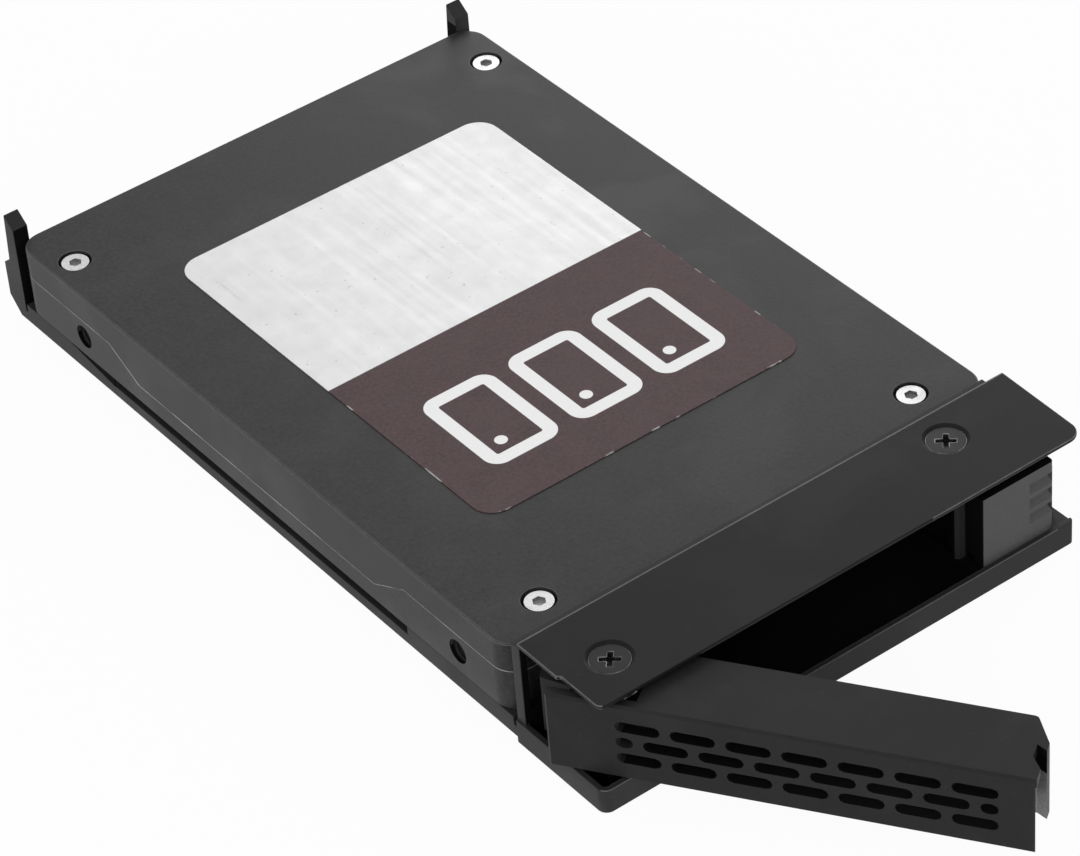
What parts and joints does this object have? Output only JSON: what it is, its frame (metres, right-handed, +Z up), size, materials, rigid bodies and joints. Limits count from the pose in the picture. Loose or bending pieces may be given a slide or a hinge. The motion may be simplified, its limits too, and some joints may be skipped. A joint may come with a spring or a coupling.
{
  "type": "hot-swap drive tray",
  "caption": "Flat drive tray holding a 2.5-inch solid-state drive, with a slotted swing door, cage claw and sliding spring latch at the front.",
  "frame": {"origin": "on the tray's underside, below the centre of the drive's four mounting holes", "axes": "+X right seen from the front, +Y towards the rear (connector end), +Z up; the door hangs open at -Y"},
  "size_m": [0.0719, 0.1584, 0.0153],
  "materials": {
    "tray_plastic": "fine matt dark grey moulding",
    "plate_paint": "satin black-grey paint on steel sheet",
    "black_steel": "black coated steel",
    "door_plastic": "matt black-grey moulding",
    "latch_plastic": "matt mid-grey moulding",
    "spring_steel": "drawn spring wire",
    "drive_coat": "satin dark grey coat on aluminium",
    "bright_steel": "bright plated steel",
    "label_foil": "silver foil, brown print on the front half",
    "board_laminate": "green solder mask",
    "connector_plastic": "black glass-filled plastic",
    "contact_gold": "gold plated",
    "chip_resin": "black moulding resin",
    "capacitor_resin": "tan moulding resin",
    "pad_silicone": "soft silicone pad"
  },
  "bodies": {
    "tray": {"tray_base": "tray_plastic", "top_plate": "plate_paint", "plate_screws": "black_steel", "door_spring": "spring_steel", "latch_spring": "spring_steel", "drive_screws": "black_steel", "drive_base": "drive_coat", "drive_cover": "drive_coat", "cover_screws": "bright_steel", "drive_label": "label_foil", "circuit_board": "board_laminate", "sata_connector": "connector_plastic", "signal_contacts": "contact_gold", "power_contacts": "contact_gold", "controller_chip": "chip_resin", "cache_chip": "chip_resin", "flash_chips": "chip_resin", "board_capacitors": "capacitor_resin", "thermal_pad": "pad_silicone"},
    "door": {"door": "door_plastic"},
    "latch": {"latch": "latch_plastic"}
  },
  "joints": [
    {"name": "door_hinge", "type": "hinge", "parent": "tray", "child": "door", "pos_m": [-0.0289, -0.0588, 0], "axis": [0, 0, 1], "range_deg": [0, 56], "stiffness_Nm_per_rad": 0.004, "springref_deg": -28.65, "deforming": ["door_spring"]},
    {"name": "latch_slide", "type": "slide", "parent": "tray", "child": "latch", "axis": [1, 0, 0], "range_m": [0, 0.002], "stiffness_N_per_m": 400, "springref_m": -0.002, "deforming": ["latch_spring"]}
  ]
}
